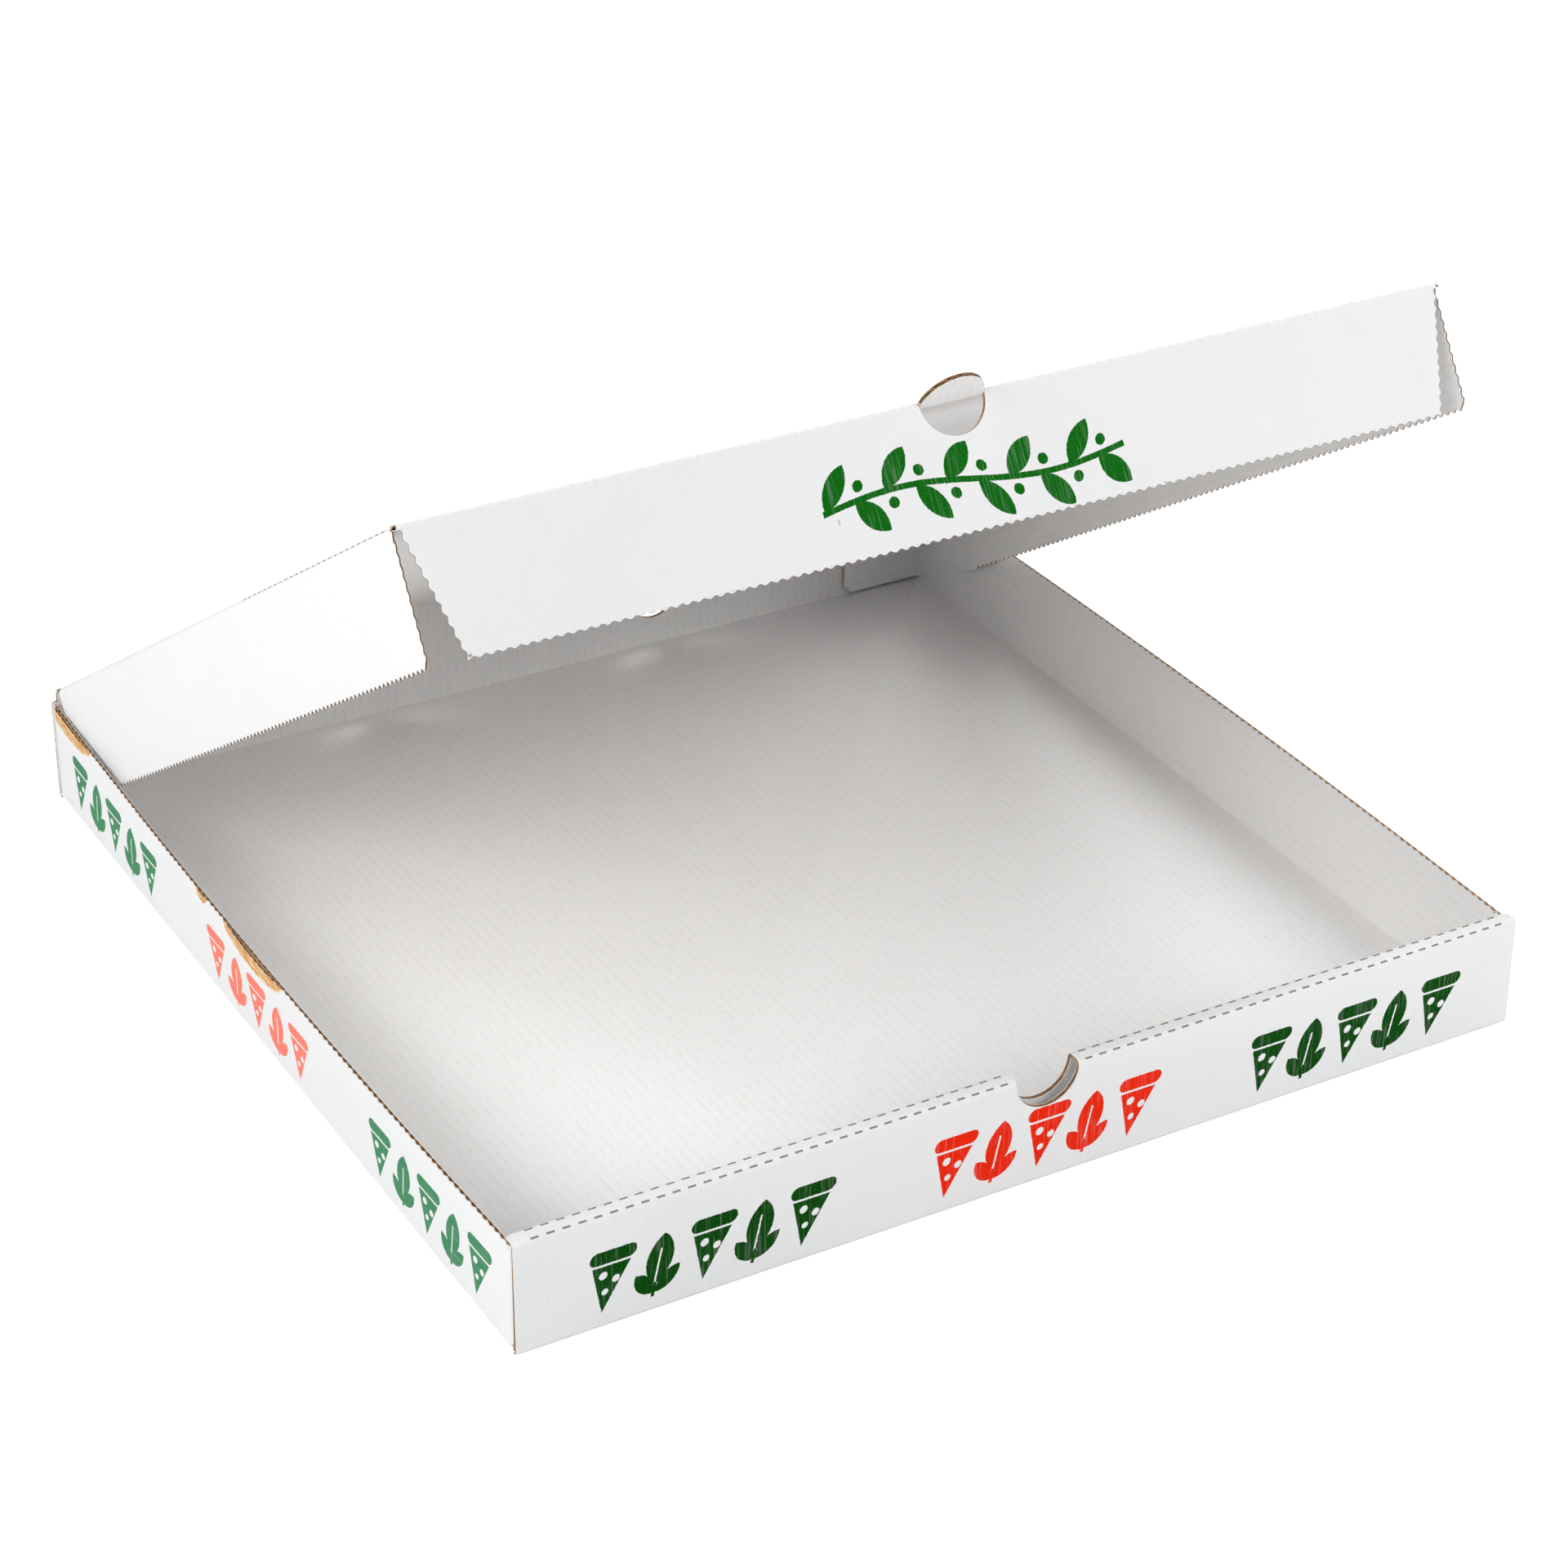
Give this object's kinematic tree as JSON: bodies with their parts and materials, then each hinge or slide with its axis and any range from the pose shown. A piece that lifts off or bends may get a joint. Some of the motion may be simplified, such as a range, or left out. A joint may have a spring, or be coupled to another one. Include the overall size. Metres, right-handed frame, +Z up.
{
  "type": "pizza box",
  "caption": "Shallow square corrugated take-away box with a hinged tuck-in lid, a rolled front wall, a thumb notch and wave-cut edges, standing part open.",
  "frame": {"origin": "centre of the tray's underside, on the surface it rests on", "axes": "+X to the right seen from the front, +Y from the front wall to the hinge, +Z up"},
  "size_m": [0.339, 0.3411, 0.2268],
  "materials": {
    "tray_board": "matt white liner over brown fluting",
    "lid_board": "matt white liner over brown fluting",
    "front_flap_board": "matt white liner over brown fluting"
  },
  "bodies": {
    "tray": {"tray": "tray_board"},
    "lid": {"lid": "lid_board"},
    "lid_front_flap": {"lid_front_flap": "front_flap_board"}
  },
  "joints": [
    {"name": "lid_hinge", "type": "hinge", "parent": "tray", "child": "lid", "pos_m": [0, 0.16975, 0.03875], "axis": [-1, 0, 0], "range_deg": [-32.75, 152.25]},
    {"name": "front_flap_fold", "type": "hinge", "parent": "lid", "child": "lid_front_flap", "pos_m": [0, -0.10854, 0.21775], "axis": [-1, 0, 0], "range_deg": [0, 90]}
  ]
}
